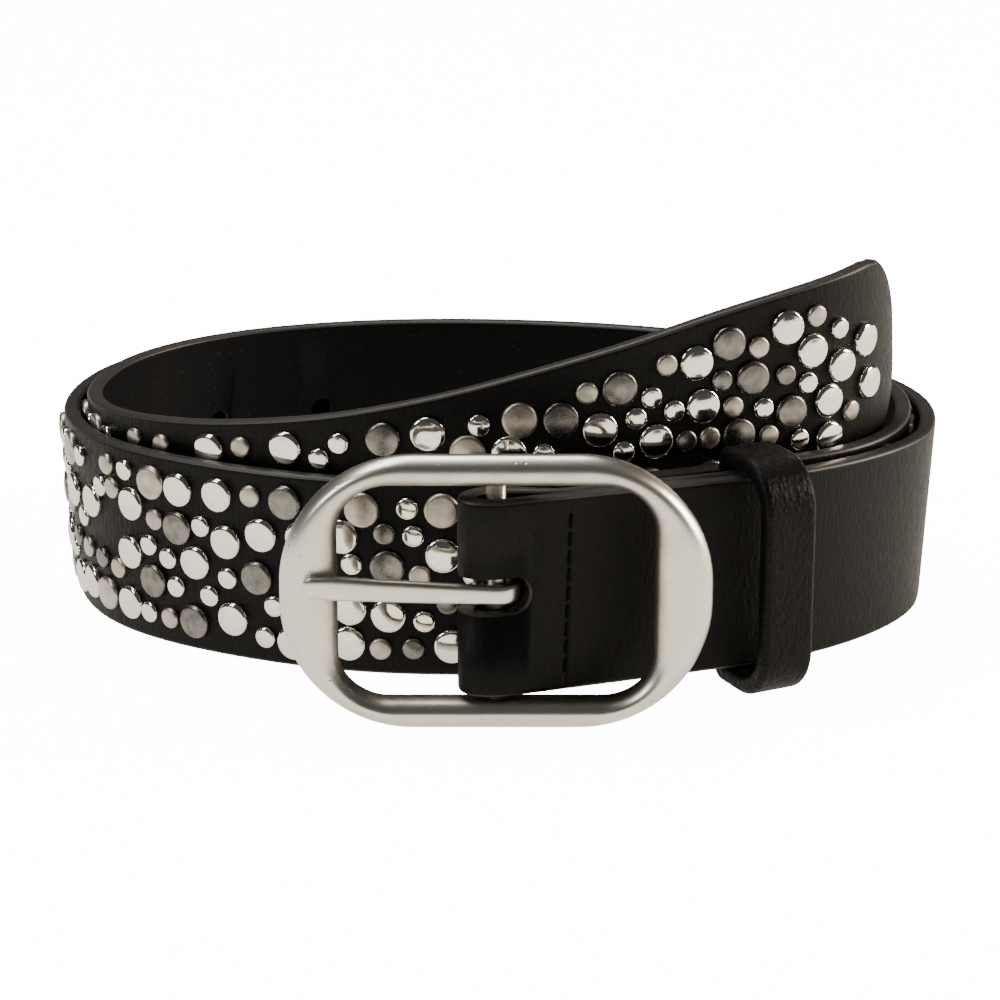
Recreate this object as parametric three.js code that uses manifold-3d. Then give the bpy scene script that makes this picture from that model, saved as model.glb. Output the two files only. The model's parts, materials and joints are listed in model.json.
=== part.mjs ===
// A studded leather belt, coiled a little over two turns and standing on its lower edge.
// Millimetres, +Z up. Seen from the front (-Y) the buckle faces the viewer. The strap leaves
// the buckle to the right, runs counterclockwise seen from above and climbs to its free tip.
import * as THREE from 'three';
import { mergeVertices } from 'three/addons/utils/BufferGeometryUtils.js';
import Module from 'manifold-3d';

const wasm = await Module();
wasm.setup();

// Strap
const strapWidth = 38;
const plainNarrower = 1;
const strapThick = 3.2;
const skivedThick = 2.2;
const tipRound = { along: 16, across: 18 };
const turnedBack = 58;
const seamFrom = 12;
const straightLeg = 48.9;

// Studs
const studWide = 6.8;
const studRise = 1.2;
const studSides = 10;
const studSink = 0.7;

// Coil, measured on the grain face of its outermost turn
const coilHalfWidth = 89.3;
const coilHalfDepth = 65.2;
const coilSquareness = 2.16;
const coilTilt = -8.8;
const layerGap = 0.3;
const leadJoin = -5;
const leadPull = 0.3;
const tipTurn = 1.998;

// Buckle
const frameWidth = 77.4;
const frameHeight = 51.5;
const frameCorner = 24;
const frameDepth = 6.1;
const openWidth = 56.8;
const openHeight = 40.3;
const openCorner = 9;
const barRadius = 1.8;
const barAhead = 3.1;
const turningGap = 0.35;
const foldStretch = 1.35;
const buckleFromCoil = { x: 1.5, y: -74.9 };
const strapHeading = 24;

// Prong and its slot
const prongWidth = 4.4;
const prongNeck = 3.6;
const prongThick = 2.2;
const prongOver = 6.5;
const prongHigh = -0.5;
const prongLift = 3.2;
const slotHeight = 7;
const slotReach = 4.7;
const seatGap = 0.3;

// Keeper loop: thick padded leather that stands off the grain face, thin behind the strap
const keeperFrom = 46;
const keeperBand = 10.6;
const keeperBulge = 10.6;
const keeperThick = 3.4;
const keeperBack = 1.6;
const keeperAbove = 0.8;
const keeperBelow = 0.2;
const keeperSlack = 0.5;
const keeperFrontCorner = 9.5;
const keeperBackCorner = 2.6;

// Adjustment holes, counted back from the tip
const holeWide = 4.5;
const holeCount = 6;
const holePitch = 25;
const firstHole = 155.5;
const studToHole = 0.3;

// The plain stretch widens by the end of this length from the buckle
const narrowUntil = 110;

// Slope of the strap's lower edge in degrees along the coil; turn 0 is the right-hand side
const climbRows = [
  { turn: -0.25, slope: -2 },
  { turn: 0.02, slope: -1.9 },
  { turn: 0.2, slope: 0 },
  { turn: 0.53, slope: 0 },
  { turn: 0.6, slope: 1.8 },
  { turn: 0.7, slope: 1.2 },
  { turn: 0.78, slope: 1 },
  { turn: 0.95, slope: 0 },
  { turn: 1.25, slope: -0.3 },
  { turn: 1.48, slope: 0 },
  { turn: 1.54, slope: 3.6 },
  { turn: 1.6, slope: 6.6 },
  { turn: 1.67, slope: 9.8 },
  { turn: 1.74, slope: 13 },
  { turn: 1.82, slope: 15.5 },
  { turn: 1.9, slope: 13.5 },
  { turn: 1.99, slope: 4 },
];

// Places where the oval is pressed inward: by the keeper, and at the left of the front
const pressedPlaces = [
  { inward: 4, turn: 0.83, spread: 0.1, from: 0.55 },
  { inward: 3.5, turn: 0.9, spread: 0.045, from: 0.6 },
  { inward: 2.8, turn: 0.625, spread: 0.084, from: 0.3 },
];
const pressFade = 0.15;

// Places where the strap leans: its lower edge is tucked inward, or stands out at the tip
const leaningPlaces = [
  { inward: 1.8, turn: 0.53, spread: 0.05, from: -1 },
  { inward: 2, turn: 0.99, spread: 0.06, from: -1 },
  { inward: -3.5, turn: 0, spread: 0.035, from: 1.75 },
];

// Large studs of one repeat: length along it and height across the strap, in mm
const studRepeat = 92;
const firstRepeat = 296;
const repeatStuds = [
  [2.5, 7], [5, 24.5], [17.5, 6.5], [18.5, 17], [25.5, 32.3], [31.8, 24.3], [34.8, 6],
  [41.7, 32.3], [43.2, 23.2], [49.7, 17], [51, 25.6], [56.3, 32.6], [67.3, 27],
  [68.5, 13], [71.5, 32.4], [75.9, 12], [86.4, 24], [87.6, 6.2],
];

// Large studs by the free end: length back from the tip and height across the strap. The
// repeat stops where these fill the whole width, and keeps below their upper row before that
const tipStuds = [
  [16, 14.5], [17, 23.5], [23.5, 20.5], [27, 14.5], [27.5, 7], [29.5, 25.5], [33.5, 31.5], [35, 15],
  [41, 24], [41, 6], [44, 32], [45.5, 14], [50.5, 30.5], [51, 22], [52.5, 8], [61, 18.5],
  [64, 10.5], [65, 30.5], [70, 24], [75, 16.5], [76, 28], [76.5, 8], [83, 30], [86.5, 24.5],
  [87.5, 17.5], [89, 9.5], [94, 26.5], [100.5, 31.5], [109, 32], [130, 32.5], [148, 32.5],
];
const tipFilled = 98;
const tipUpperRow = 168;
const belowUpperRow = 25;

const degrees = Math.PI / 180;
const layerPitch = strapThick + studRise + layerGap;
const routeStep = 1;

const mix = (a, b, share) => a + (b - a) * share;
const smooth = (share) => {
  const s = Math.min(Math.max(share, 0), 1);
  return s * s * (3 - 2 * s);
};

// How near a turn of any layer is to a place on the oval, from 0 to 1
function nearness(turn, place) {
  const away = ((turn - place.turn + 0.5) % 1 + 1) % 1 - 0.5;
  return Math.exp(-((away / place.spread) ** 2));
}

// Plan view of the coil: an oval that shrinks by one layer a turn
function coilPoint(turn) {
  const angle = turn * 2 * Math.PI;
  let inset = layerPitch * turn;
  for (const place of pressedPlaces) {
    inset += place.inward * nearness(turn, place) * smooth((turn - place.from) / pressFade);
  }
  const across = Math.abs(Math.cos(angle)) / (coilHalfWidth - inset);
  const along = Math.abs(Math.sin(angle)) / (coilHalfDepth - inset);
  const radius = (across ** coilSquareness + along ** coilSquareness) ** (-1 / coilSquareness);
  const turned = angle + coilTilt * degrees;
  return new THREE.Vector2(radius * Math.cos(turned), radius * Math.sin(turned));
}

const bar = new THREE.Vector2(buckleFromCoil.x, buckleFromCoil.y);
const heading = new THREE.Vector2(Math.cos(strapHeading * degrees), Math.sin(strapHeading * degrees));
const foldRadius = barRadius + turningGap + strapThick;
const legStart = new THREE.Vector2(heading.y, -heading.x).multiplyScalar(foldRadius).add(bar);

// Outer leg: straight from the bar, then one bend that joins the coil
function outerRoute() {
  const points = [];
  for (let s = 0; s < straightLeg; s += routeStep) {
    points.push(heading.clone().multiplyScalar(s).add(legStart));
  }
  const joinTurn = leadJoin / 360;
  const from = heading.clone().multiplyScalar(straightLeg).add(legStart);
  const to = coilPoint(joinTurn);
  const ahead = coilPoint(joinTurn + 0.001).sub(to).normalize();
  const pull = from.distanceTo(to) * leadPull;
  const bend = new THREE.CubicBezierCurve(from, heading.clone().multiplyScalar(pull).add(from),
    ahead.multiplyScalar(-pull).add(to), to);
  const bendSteps = Math.round(bend.getLength() / routeStep);
  points.push(...bend.getSpacedPoints(bendSteps));
  const turnStep = routeStep / (2 * Math.PI * coilHalfDepth);
  for (let turn = joinTurn + turnStep; turn < tipTurn + 0.1; turn += turnStep) {
    points.push(coilPoint(turn));
  }
  return points;
}

// A plan route with its running length, headings and the turn of the coil at each point
function measure(points) {
  const rows = [];
  let length = 0;
  points.forEach((point, i) => {
    if (i > 0) length += point.distanceTo(points[i - 1]);
    const before = points[Math.max(i - 1, 0)];
    const after = points[Math.min(i + 1, points.length - 1)];
    const along = after.clone().sub(before).normalize();
    rows.push({ length, point, along });
  });
  return rows;
}

function at(rows, length) {
  const end = rows.length - 1;
  let low = 0;
  let high = end;
  while (high - low > 1) {
    const middle = (low + high) >> 1;
    if (rows[middle].length <= length) low = middle;
    else high = middle;
  }
  const a = rows[low];
  const b = rows[high];
  const share = (length - a.length) / (b.length - a.length);
  const along = a.along.clone().lerp(b.along, Math.min(Math.max(share, 0), 1)).normalize();
  return { point: a.point.clone().lerp(b.point, share), along };
}

const outer = measure(outerRoute());
const leftOf = (along) => new THREE.Vector2(-along.y, along.x);

// The turned-back leg lies behind the outer leg and closes on it past the bar
const closeLength = 14;
const closedOffset = strapThick + turningGap + skivedThick;
function innerLeg() {
  const points = [];
  for (let s = turnedBack; s > 0; s -= routeStep) {
    const { point, along } = at(outer, s);
    const offset = mix(2 * foldRadius, closedOffset, smooth(s / closeLength));
    points.push(leftOf(along).multiplyScalar(offset).add(point));
  }
  return points;
}

// Half an oval round the bar, from the inner leg to the outer one
function foldArc() {
  const points = [];
  const steps = 24;
  for (let i = 0; i < steps; i++) {
    const angle = (Math.PI * i) / steps;
    const back = heading.clone().multiplyScalar(-Math.sin(angle) * foldRadius * foldStretch);
    const side = leftOf(heading).multiplyScalar(Math.cos(angle) * foldRadius);
    points.push(back.add(side).add(bar));
  }
  return points;
}

const route = measure([...innerLeg(), ...foldArc(), ...outer.map((row) => row.point)]);
const outerStart = route[route.length - outer.length].length;

// Turn of the coil at a length along the route, from the angle swept about its middle
let swept = null;
route.forEach((row) => {
  const angle = (Math.atan2(row.point.y, row.point.x) - coilTilt * degrees) / (2 * Math.PI);
  if (row.length < outerStart) {
    row.turn = angle;
    return;
  }
  if (swept === null) swept = angle;
  swept += (((angle - swept + 0.5) % 1) + 1) % 1 - 0.5;
  row.turn = swept;
});

function slopeAt(turn) {
  const last = climbRows.length - 1;
  if (turn <= climbRows[0].turn) return climbRows[0].slope;
  if (turn >= climbRows[last].turn) return climbRows[last].slope;
  const next = climbRows.findIndex((row) => row.turn > turn);
  const a = climbRows[next - 1];
  const b = climbRows[next];
  return mix(a.slope, b.slope, smooth((turn - a.turn) / (b.turn - a.turn)));
}

// The turned-back leg mirrors the slope of the outer leg, and the fold passes from one to the other
function turnedSlope(length) {
  const mirrored = slopeAt(valueAt('turn', outerStart + Math.max(turnedBack - length, 0)));
  const folded = Math.max(length - turnedBack, 0) / (outerStart - turnedBack);
  return mirrored * (2 * folded - 1);
}

// Height of the lower edge, summed along the route; the flat back stretch is at zero
let climbed = 0;
route.forEach((row, i) => {
  row.slope = (row.length < outerStart ? turnedSlope(row.length) : slopeAt(row.turn)) * degrees;
  if (i > 0) climbed += Math.tan(row.slope) * (row.length - route[i - 1].length);
  row.height = climbed;
});
const lowest = route.find((row) => row.length > outerStart && row.turn > 0.3).height;
route.forEach((row) => {
  row.height -= lowest;
});
const tipLength = route.find((row) => row.length > outerStart && row.turn > tipTurn).length;

function valueAt(name, length) {
  let low = 0;
  let high = route.length - 1;
  while (high - low > 1) {
    const middle = (low + high) >> 1;
    if (route[middle].length <= length) low = middle;
    else high = middle;
  }
  const share = (length - route[low].length) / (route[high].length - route[low].length);
  return mix(route[low][name], route[high][name], share);
}

function leanAt(length) {
  if (length < outerStart) return 0;
  const turn = valueAt('turn', length);
  return leaningPlaces.reduce((sum, place) => (
    sum + place.inward * nearness(turn, place) * smooth((turn - place.from) / pressFade)), 0);
}

// A point of the strap: length along it, height across it and depth in from the grain face
function strapPoint(length, across, depth) {
  const slope = valueAt('slope', length);
  const { point, along } = at(route, length - across * Math.sin(slope));
  const inward = depth + leanAt(length) * (1 - across / strapWidth);
  const place = leftOf(along).multiplyScalar(inward).add(point);
  return new THREE.Vector3(place.x, place.y, valueAt('height', length) + across * Math.cos(slope));
}

function thickAt(length) {
  return mix(skivedThick, strapThick, smooth((length - (turnedBack - closeLength)) / closeLength));
}

function closedGeometry(sections) {
  const count = sections[0].length;
  const vertices = [];
  const faces = [];
  sections.forEach((section) => section.forEach((p) => vertices.push(p.x, p.y, p.z)));
  for (let i = 0; i + 1 < sections.length; i++) {
    for (let j = 0; j < count; j++) {
      const a = i * count + j;
      const b = i * count + ((j + 1) % count);
      faces.push(a, a + count, b, b, a + count, b + count);
    }
  }
  const end = (sections.length - 1) * count;
  for (let j = 1; j + 1 < count; j++) {
    faces.push(0, j, j + 1);
    faces.push(end, end + j + 1, end + j);
  }
  const geometry = new THREE.BufferGeometry();
  geometry.setAttribute('position', new THREE.Float32BufferAttribute(vertices, 3));
  geometry.setIndex(faces);
  return geometry;
}

function solid(geometry) {
  const bare = geometry.clone();
  bare.deleteAttribute('normal');
  bare.deleteAttribute('uv');
  const merged = mergeVertices(bare, 1e-4);
  return new wasm.Manifold(new wasm.Mesh({
    numProp: 3,
    vertProperties: new Float32Array(merged.attributes.position.array),
    triVerts: new Uint32Array(merged.index.array),
  }));
}

function geometryOf(body) {
  const mesh = body.getMesh();
  const geometry = new THREE.BufferGeometry();
  geometry.setAttribute('position', new THREE.BufferAttribute(mesh.vertProperties, mesh.numProp));
  geometry.setIndex(new THREE.BufferAttribute(mesh.triVerts, 1));
  return geometry;
}

// Stations between two lengths of the route, closer together where it bends more
function stations(from, to) {
  const turnEach = 7.2 * degrees;
  const longest = 14;
  const list = [from];
  let bent = 0;
  route.forEach((row, i) => {
    if (row.length <= from || row.length >= to) return;
    bent += row.along.angleTo(route[i - 1].along);
    if (bent >= turnEach || row.length - list[list.length - 1] >= longest) {
      list.push(row.length);
      bent = 0;
    }
  });
  return list;
}

// Stations round the tip, which ends a little short of its point
function tipStations() {
  const steps = 6;
  const lastAngle = 88 * degrees;
  return Array.from({ length: steps + 1 }, (_, i) => (
    tipLength - tipRound.along * (1 - Math.sin((i / steps) * lastAngle))));
}

// Rounded free end: how far each edge draws in
function drawIn(length) {
  const past = (length - (tipLength - tipRound.along)) / tipRound.along;
  return past <= 0 ? 0 : tipRound.across * (1 - Math.sqrt(Math.max(1 - past * past, 0)));
}

function strapSection(length) {
  const thick = thickAt(length);
  const inset = drawIn(length);
  const narrower = plainNarrower * (1 - smooth((length - outerStart - narrowUntil) / narrowUntil));
  const low = inset + narrower / 2;
  const high = strapWidth - inset - narrower / 2;
  return [
    [low, 0], [high, 0], [high, thick], [low, thick],
  ].map(([across, depth]) => strapPoint(length, across, depth));
}

// A round tool standing square to the grain face, from one depth to another
function roundTool(length, across, diameter, fromDepth, toDepth, sides) {
  const start = strapPoint(length, across, fromDepth);
  const end = strapPoint(length, across, toDepth);
  const axis = end.clone().sub(start);
  const geometry = new THREE.CylinderGeometry(diameter / 2, diameter / 2, axis.length(), sides);
  const upright = new THREE.Vector3(0, 1, 0);
  geometry.applyQuaternion(new THREE.Quaternion().setFromUnitVectors(upright, axis.clone().normalize()));
  geometry.translate(...start.add(end).multiplyScalar(0.5).toArray());
  return solid(geometry);
}

const holes = Array.from({ length: holeCount }, (_, i) => tipLength - firstHole - i * holePitch);

function clearOfHoles(length, across) {
  const room = (holeWide + studWide) / 2 + studToHole;
  return holes.every((hole) => Math.hypot(length - hole, across - strapWidth / 2) > room);
}

// Where the large studs stand: length along the route and height across the strap
function studPlaces() {
  const places = tipStuds.map(([back, across]) => [tipLength - back, across]);
  const last = tipLength - tipFilled;
  for (let start = outerStart + firstRepeat; start < last; start += studRepeat) {
    for (const [along, across] of repeatStuds) {
      const length = start + along;
      const free = length < tipLength - tipUpperRow || across < belowUpperRow;
      if (length < last && free) places.push([length, across]);
    }
  }
  return places.filter(([length, across]) => clearOfHoles(length, across));
}

const seam = outerStart + seamFrom;

// The turned-back leather by the buckle, with the prong's slot through its fold
function makeBuckleEnd() {
  const lengths = [...stations(0, seam), seam];
  const slot = new THREE.BoxGeometry(slotReach * 2 + foldRadius, foldRadius * 3, slotHeight);
  slot.translate(-foldRadius / 2, 0, 0);
  slot.rotateZ(strapHeading * degrees);
  slot.translate(bar.x, bar.y, frameHeight / 2 + prongHigh / 2);
  return geometryOf(solid(closedGeometry(lengths.map(strapSection))).subtract(solid(slot)));
}

function makeStrap() {
  const lengths = [...stations(seam, tipLength - tipRound.along), ...tipStations()];
  let body = solid(closedGeometry(lengths.map(strapSection)));
  const through = strapThick + studRise;
  for (const hole of holes) {
    body = body.subtract(roundTool(hole, strapWidth / 2, holeWide, -studRise, through, studSides));
  }
  const studs = studPlaces().map(([length, across]) => (
    roundTool(length, across, studWide, -studRise, studSink, studSides)));
  return geometryOf(wasm.Manifold.union([body, ...studs]));
}

// Points round a box with one radius for its two right corners and one for its two left ones
function roundedBox({ left, right, low, high }, rightCorner, leftCorner, steps) {
  const corners = [
    { x: right - rightCorner, y: high - rightCorner, radius: rightCorner },
    { x: left + leftCorner, y: high - leftCorner, radius: leftCorner },
    { x: left + leftCorner, y: low + leftCorner, radius: leftCorner },
    { x: right - rightCorner, y: low + rightCorner, radius: rightCorner },
  ];
  return corners.flatMap(({ x, y, radius }, quarter) => Array.from({ length: steps + 1 }, (_, i) => {
    const angle = (quarter + i / steps) * 90 * degrees;
    return new THREE.Vector2(x + radius * Math.cos(angle), y + radius * Math.sin(angle));
  }));
}

function centredBox(width, height) {
  return { left: -width / 2, right: width / 2, low: -height / 2, high: height / 2 };
}

const frameFront = bar.y - barAhead - frameDepth / 2;

// Cast frame: a domed section carried round between the opening and the outline
const frameSection = [
  { across: 0, depth: 0.62 }, { across: 0.06, depth: 0.25 }, { across: 0.28, depth: 0.04 },
  { across: 0.52, depth: 0 }, { across: 0.76, depth: 0.08 }, { across: 0.95, depth: 0.32 },
  { across: 1, depth: 0.55 }, { across: 0.88, depth: 0.88 }, { across: 0.6, depth: 1 },
  { across: 0.3, depth: 1 }, { across: 0.08, depth: 0.94 },
];

function makeFrame() {
  const steps = 7;
  const inside = roundedBox(centredBox(openWidth, openHeight), openCorner, openCorner, steps);
  const outside = roundedBox(centredBox(frameWidth, frameHeight), frameCorner, frameCorner, steps);
  const rings = inside.map((from, i) => frameSection.map(({ across, depth }) => {
    const p = from.clone().lerp(outside[i], across);
    return new THREE.Vector3(p.x + bar.x, frameFront + depth * frameDepth, p.y + frameHeight / 2);
  }));
  const count = frameSection.length;
  const vertices = rings.flat().flatMap((p) => p.toArray());
  const faces = [];
  rings.forEach((_, i) => {
    const next = (i + 1) % rings.length;
    for (let j = 0; j < count; j++) {
      const k = (j + 1) % count;
      faces.push(i * count + j, i * count + k, next * count + j);
      faces.push(i * count + k, next * count + k, next * count + j);
    }
  });
  const geometry = new THREE.BufferGeometry();
  geometry.setAttribute('position', new THREE.Float32BufferAttribute(vertices, 3));
  geometry.setIndex(faces);
  const rail = (frameHeight - openHeight) / 2;
  const post = new THREE.CylinderGeometry(barRadius, barRadius, openHeight + rail, 16);
  post.rotateX(90 * degrees);
  post.translate(bar.x, bar.y, frameHeight / 2);
  return geometryOf(solid(geometry).add(solid(post)));
}

// Prong: bent round the bar, then a straight shank that rests on the frame and rises to its tip
function makeProng() {
  const restDepth = 0.6;
  const bendRadius = barRadius + turningGap + prongThick / 2;
  const reach = openWidth / 2 + prongOver;
  const crest = (openWidth + frameWidth) / 4;
  const rest = bar.y - (frameFront - seatGap - prongThick * restDepth);
  const lean = Math.atan2(rest - bendRadius, crest);
  const path = [];
  const startAngle = 200 * degrees;
  const endAngle = -90 * degrees + lean;
  const steps = 14;
  for (let i = 0; i <= steps; i++) {
    const angle = mix(startAngle, endAngle, i / steps);
    path.push({
      point: new THREE.Vector2(Math.cos(angle), Math.sin(angle)).multiplyScalar(bendRadius),
      along: new THREE.Vector2(Math.sin(angle), -Math.cos(angle)),
      wide: prongNeck,
      thick: prongThick,
      rise: 0,
    });
  }
  const foot = path[steps];
  const shank = [
    { share: 0.15, wide: 1, thick: 1 }, { share: 0.55, wide: 1.12, thick: 1.08 },
    { share: 0.85, wide: prongWidth / prongNeck, thick: 1 },
    { share: 0.96, wide: 1.05, thick: 0.85 }, { share: 1, wide: 0.55, thick: 0.5 },
  ];
  for (const { share, wide, thick } of shank) {
    path.push({
      point: foot.along.clone().multiplyScalar(reach * share).add(foot.point),
      along: foot.along,
      wide: prongNeck * wide,
      thick: prongThick * thick,
      rise: prongLift * share,
    });
  }
  const sides = [[-1, -0.5], [-0.5, -1], [0.5, -1], [1, -0.5], [1, 0.5], [0.5, 1], [-0.5, 1], [-1, 0.5]];
  const level = frameHeight / 2 + prongHigh;
  const sections = path.map(({ point, along, wide, thick, rise }) => sides.map(([u, v]) => {
    const p = leftOf(along).multiplyScalar(-(u * thick) / 2).add(point);
    return new THREE.Vector3(p.x + bar.x, p.y + bar.y, level + rise + (v * wide) / 2);
  }));
  return closedGeometry(sections);
}

// Keeper: a leather loop round both legs of the strap, bulging off their grain face
function makeKeeper() {
  const steps = 6;
  const middle = outerStart + keeperFrom + keeperBand / 2;
  const stack = strapThick + turningGap + skivedThick;
  const hole = {
    left: -stack - keeperSlack,
    right: keeperBulge - keeperThick,
    low: -keeperBelow,
    high: strapWidth + keeperAbove,
  };
  const rim = {
    left: hole.left - keeperBack,
    right: keeperBulge,
    low: hole.low - keeperThick,
    high: hole.high + keeperThick,
  };
  const band = new THREE.Shape(roundedBox(rim, keeperFrontCorner, keeperBackCorner, steps));
  const inner = roundedBox(hole, keeperFrontCorner - keeperThick, keeperBackCorner - keeperBack, steps);
  band.holes.push(new THREE.Path(inner.reverse()));
  const geometry = new THREE.ExtrudeGeometry(band, { depth: keeperBand, bevelEnabled: false });
  geometry.translate(0, 0, -keeperBand / 2);
  const { point, along } = at(route, middle);
  const out = leftOf(along).negate();
  geometry.applyMatrix4(new THREE.Matrix4().makeBasis(new THREE.Vector3(out.x, out.y, 0),
    new THREE.Vector3(0, 0, 1), new THREE.Vector3(-along.x, -along.y, 0)));
  geometry.translate(point.x, point.y, valueAt('height', middle));
  return geometryOf(solid(geometry));
}

const leather = new THREE.MeshStandardMaterial({ color: 0x17161a, roughness: 0.55, metalness: 0 });
const trim = new THREE.MeshStandardMaterial({ color: 0x1a1918, roughness: 0.5, metalness: 0 });
const nickel = new THREE.MeshStandardMaterial({ color: 0xb9b2a4, roughness: 0.42, metalness: 1 });
const prongNickel = new THREE.MeshStandardMaterial({ color: 0xb4ad9f, roughness: 0.38, metalness: 1 });

const pieces = [
  { name: 'strap', geometry: makeStrap(), material: leather },
  { name: 'buckle_end', geometry: makeBuckleEnd(), material: leather },
  { name: 'buckle_frame', geometry: makeFrame(), material: nickel },
  { name: 'prong', geometry: makeProng(), material: prongNickel },
  { name: 'keeper', geometry: makeKeeper(), material: trim },
];

// The belt stands on z = 0 with its box centred on the origin
const box = new THREE.Box3();
for (const { geometry } of pieces) {
  geometry.computeBoundingBox();
  box.union(geometry.boundingBox);
}
const middle = box.getCenter(new THREE.Vector3());
const belt = new THREE.Group();
belt.name = 'studded_belt';
for (const { name, geometry, material } of pieces) {
  const mesh = new THREE.Mesh(geometry, material);
  mesh.name = name;
  mesh.position.set(-middle.x, -middle.y, -box.min.z);
  belt.add(mesh);
}

export default belt;
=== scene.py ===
"""Looks of the studded belt: strap, buckle, keeper and every stud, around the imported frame."""
import json
import math
import random

import bmesh
import bpy
from mathutils import Matrix, Vector


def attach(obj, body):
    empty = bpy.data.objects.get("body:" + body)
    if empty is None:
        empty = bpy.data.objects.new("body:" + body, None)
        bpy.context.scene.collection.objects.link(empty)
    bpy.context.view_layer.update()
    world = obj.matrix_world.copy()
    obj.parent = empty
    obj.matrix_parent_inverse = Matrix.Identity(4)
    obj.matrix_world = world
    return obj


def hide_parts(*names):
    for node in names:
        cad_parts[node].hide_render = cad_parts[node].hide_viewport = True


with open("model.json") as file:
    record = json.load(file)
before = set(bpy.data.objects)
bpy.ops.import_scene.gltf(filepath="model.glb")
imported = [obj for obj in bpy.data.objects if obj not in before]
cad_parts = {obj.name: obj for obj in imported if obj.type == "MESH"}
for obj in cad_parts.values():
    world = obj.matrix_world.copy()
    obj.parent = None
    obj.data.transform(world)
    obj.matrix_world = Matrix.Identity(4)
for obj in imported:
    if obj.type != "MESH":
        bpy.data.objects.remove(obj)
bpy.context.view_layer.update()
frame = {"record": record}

MM = 0.001

# Dimensions of the CAD model in millimetres, in the coil's own coordinates
STRAP_WIDTH, PLAIN_NARROWER, NARROW_UNTIL = 38.0, 1.0, 110.0
STRAP_THICK, SKIVED_THICK, TURNED_BACK, STRAIGHT_LEG = 3.2, 2.2, 58.0, 48.9
TIP_RADIUS, TIP_SHORT = 22.0, 1.5
COIL_HALF_WIDTH, COIL_HALF_DEPTH, COIL_SQUARENESS, COIL_TILT = 89.3, 65.2, 2.16, -8.8
STUD_RISE, LAYER_GAP = 1.2, 0.3
LAYER_PITCH = STRAP_THICK + STUD_RISE + LAYER_GAP
LEAD_JOIN, LEAD_PULL, TIP_TURN = -5.0, 0.3, 1.998
FRAME_WIDTH, FRAME_HEIGHT, FRAME_CORNER, FRAME_DEPTH = 77.4, 51.5, 24.0, 6.1
OPEN_WIDTH, OPEN_HEIGHT, OPEN_CORNER = 56.8, 40.3, 9.0
BAR_RADIUS, BAR_AHEAD, TURNING_GAP, FOLD_STRETCH, STRAP_HEADING = 1.8, 3.1, 0.35, 1.35, 24.0
BAR = Vector((1.5, -74.9))
PRONG_WIDTH, PRONG_NECK, PRONG_THICK, PRONG_OVER, PRONG_HIGH, PRONG_LIFT = 4.4, 3.6, 2.2, 6.5, -0.5, 3.2
SLOT_HEIGHT, SLOT_REACH, SEAT_GAP = 7.0, 4.7, 0.3
KEEPER_FROM, KEEPER_BAND, KEEPER_BULGE, KEEPER_THICK, KEEPER_BACK = 46.0, 10.6, 10.6, 3.4, 1.6
KEEPER_ABOVE, KEEPER_BELOW, KEEPER_SLACK, KEEPER_FRONT_CORNER, KEEPER_BACK_CORNER = 0.8, 0.2, 0.5, 9.5, 2.6
HOLE_WIDE, HOLE_COUNT, HOLE_PITCH, FIRST_HOLE = 4.5, 6, 25.0, 155.5
CLIMB = [
    (-0.25, -2), (0.02, -1.9), (0.2, 0), (0.53, 0), (0.6, 1.8), (0.7, 1.2), (0.78, 1),
    (0.95, 0), (1.25, -0.3), (1.48, 0), (1.54, 3.6), (1.6, 6.6), (1.67, 9.8), (1.74, 13),
    (1.82, 15.5), (1.9, 13.5), (1.99, 4),
]
PRESS_FADE = 0.15
PRESSED = [(4.0, 0.83, 0.1, 0.55), (3.5, 0.9, 0.045, 0.6), (2.8, 0.625, 0.084, 0.3)]
LEANING = [(1.8, 0.53, 0.05, -1), (2.0, 0.99, 0.06, -1), (-3.5, 0, 0.035, 1.75)]

# Studs of one repeat: length along it, height across the strap, size and finish
REPEAT, FIRST_REPEAT = 92.0, 296.0
REPEAT_STUDS = """
2.5 7 L B; 5 24.5 L B; 9.5 6.5 L S; 17.5 6.5 L B; 18.5 17 L B; 19.5 27 L B; 24.7 12.4 L D;
25.5 32.3 L S; 31.8 24.3 L D; 32.5 32 L B; 34.8 6 L D; 35.8 18 L B; 41.7 32.3 L B;
43.2 23.2 L B; 44 8 L B; 49.7 17 L D; 51 25.6 L B; 57 5 L B; 56.3 32.6 L D; 59.5 26 L B;
59 18.5 L S; 67.3 27 L B; 68 6 L B; 68.5 13 L B; 71.5 32.4 L S; 75.9 12 L B; 76 21.5 L D;
86.4 24 L B; 86.4 32.7 L S; 87.6 6.2 L B; 0 32.5 S B; 0 20 S B; 1.5 14 S S; 8 13.5 S D;
9 28.5 S B; 12 33.5 S S; 13.5 29 S S; 14 12.8 S S; 18 33.5 S B; 23 5.7 S B; 24 19.5 S B;
26 25 S S; 28.6 5.6 S S; 29 17.7 S B; 30.7 12.3 S B; 37.5 25.5 S B; 38.8 11.8 S B;
43.2 16 S B; 49 33 S S; 51 5.3 S B; 53.2 11.8 S B; 60.5 11.5 S S; 63 31.5 S B; 62.4 6.8 S B;
69.2 21.7 S B; 74.2 5.3 S S; 75.6 28 S D; 80 33 S B; 80.4 5.6 S D; 81 27.7 S B; 82 20 S S;
82.6 11 S B; 87 14.6 S D
"""
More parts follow.
